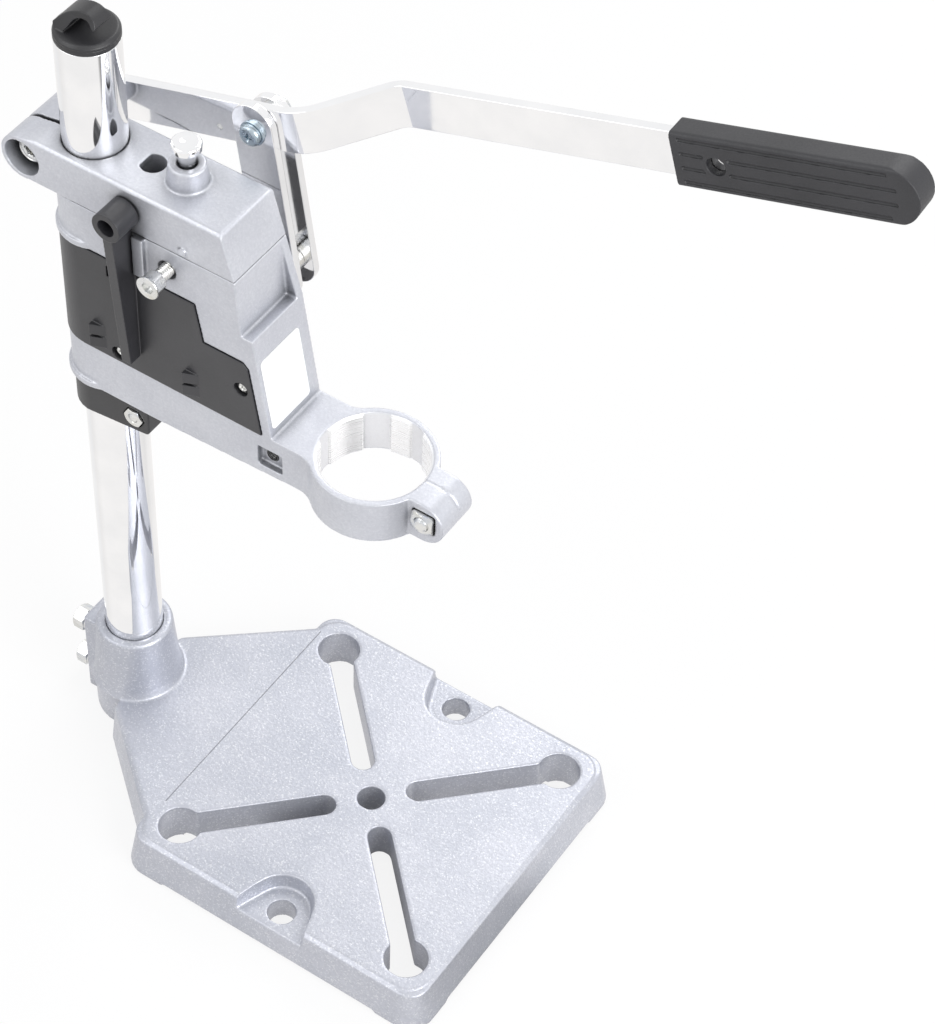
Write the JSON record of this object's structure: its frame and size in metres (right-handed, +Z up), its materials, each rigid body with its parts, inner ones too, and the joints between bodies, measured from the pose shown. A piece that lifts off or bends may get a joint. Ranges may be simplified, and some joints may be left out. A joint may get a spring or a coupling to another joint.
{
  "type": "drill stand",
  "caption": "Bench drill stand: lever and link feed a sprung carriage with a split drill collar down a round column, over a slotted cast base.",
  "frame": {"origin": "on the spindle axis, which is also the axis of the table's centre hole, at the ground plane under the base", "axes": "+X from the column to the spindle, +Y to the side of the lever, +Z up along the spindle and the column"},
  "size_m": [0.3329, 0.155, 0.427],
  "materials": {
    "casting_base": "die casting with pale silver enamel and a fine sparkle",
    "casting_head": "die casting with pale silver enamel and a fine sparkle",
    "casting_carriage": "die casting with pale silver enamel and a fine sparkle",
    "column_chrome": "bright plated tube and rod",
    "lever_chrome": "plated flat strap, slightly worn",
    "zinc_steel": "zinc-plated fasteners",
    "spring_steel": "oiled spring wire",
    "black_plastic": "moulded, finely grained",
    "cover_plastic": "moulded covers, finely grained",
    "grip_plastic": "moulded grip with long grooves",
    "blank_label": "bare white sticker"
  },
  "bodies": {
    "base": {"base_plate": "casting_base", "socket_bolts": "zinc_steel"},
    "column": {"column_tube": "column_chrome", "column_cap": "black_plastic"},
    "head": {"head_casting": "casting_head", "pivot_bolt": "zinc_steel", "pivot_washer": "zinc_steel", "pivot_nut": "zinc_steel", "spring_pin_upper": "zinc_steel", "return_spring": "spring_steel"},
    "carriage": {"carriage_arm": "casting_carriage", "carriage_casting": "casting_carriage", "near_cover": "cover_plastic", "far_cover": "cover_plastic", "cover_screws": "zinc_steel", "label_plate": "blank_label", "upper_bush": "black_plastic", "guide_ring": "black_plastic", "guide_ring_screw": "zinc_steel", "guide_ring_nut": "zinc_steel", "spring_pin_lower": "zinc_steel", "collar_clamp_nut": "zinc_steel", "collar_clamp_bolt": "zinc_steel"},
    "lever": {"lever_bar": "lever_chrome", "lever_grip": "grip_plastic"},
    "link": {"inner_link": "lever_chrome", "outer_link": "lever_chrome", "link_top_bolt": "zinc_steel", "link_top_nut": "zinc_steel", "link_washer": "zinc_steel", "link_bottom_bolt": "zinc_steel", "link_spacer": "zinc_steel"},
    "depth_stop": {"depth_rod": "column_chrome"},
    "depth_lock": {"depth_lock_screw": "zinc_steel"}
  },
  "joints": [
    {"name": "column_turn", "type": "hinge", "parent": "base", "child": "column", "pos_m": [-0.126, 0, 0.03], "axis": [0, 0, 1], "continuous": true},
    {"name": "head_height", "type": "slide", "parent": "column", "child": "head", "axis": [0, 0, 1], "range_m": [-0.142, 0.046]},
    {"name": "carriage_feed", "type": "slide", "parent": "head", "child": "carriage", "axis": [0, 0, -1], "range_m": [0, 0.06], "stiffness_N_per_m": 300, "springref_m": -0.08, "deforming": ["return_spring"]},
    {"name": "lever_turn", "type": "hinge", "parent": "head", "child": "lever", "pos_m": [-0.149, 0.03, 0.3228], "axis": [0, 1, 0], "range_deg": [0, 45.2]},
    {"name": "link_swing", "type": "hinge", "parent": "lever", "child": "link", "pos_m": [-0.07214, 0.03, 0.34571], "axis": [0, 1, 0], "range_deg": [-50.9, 0]},
    {"name": "stop_height", "type": "slide", "parent": "head", "child": "depth_stop", "axis": [0, 0, 1], "range_m": [-0.005, 0.05]},
    {"name": "lock_turn", "type": "hinge", "parent": "carriage", "child": "depth_lock", "pos_m": [-0.0825, -0.02, 0.3026], "axis": [0, 1, 0], "range_deg": [-180, 180]}
  ],
  "couplings": [
    {"joint": "lever_turn", "follows": "carriage_feed", "rad_per_m": 13.138},
    {"joint": "link_swing", "follows": "carriage_feed", "rad_per_m": -14.779}
  ]
}
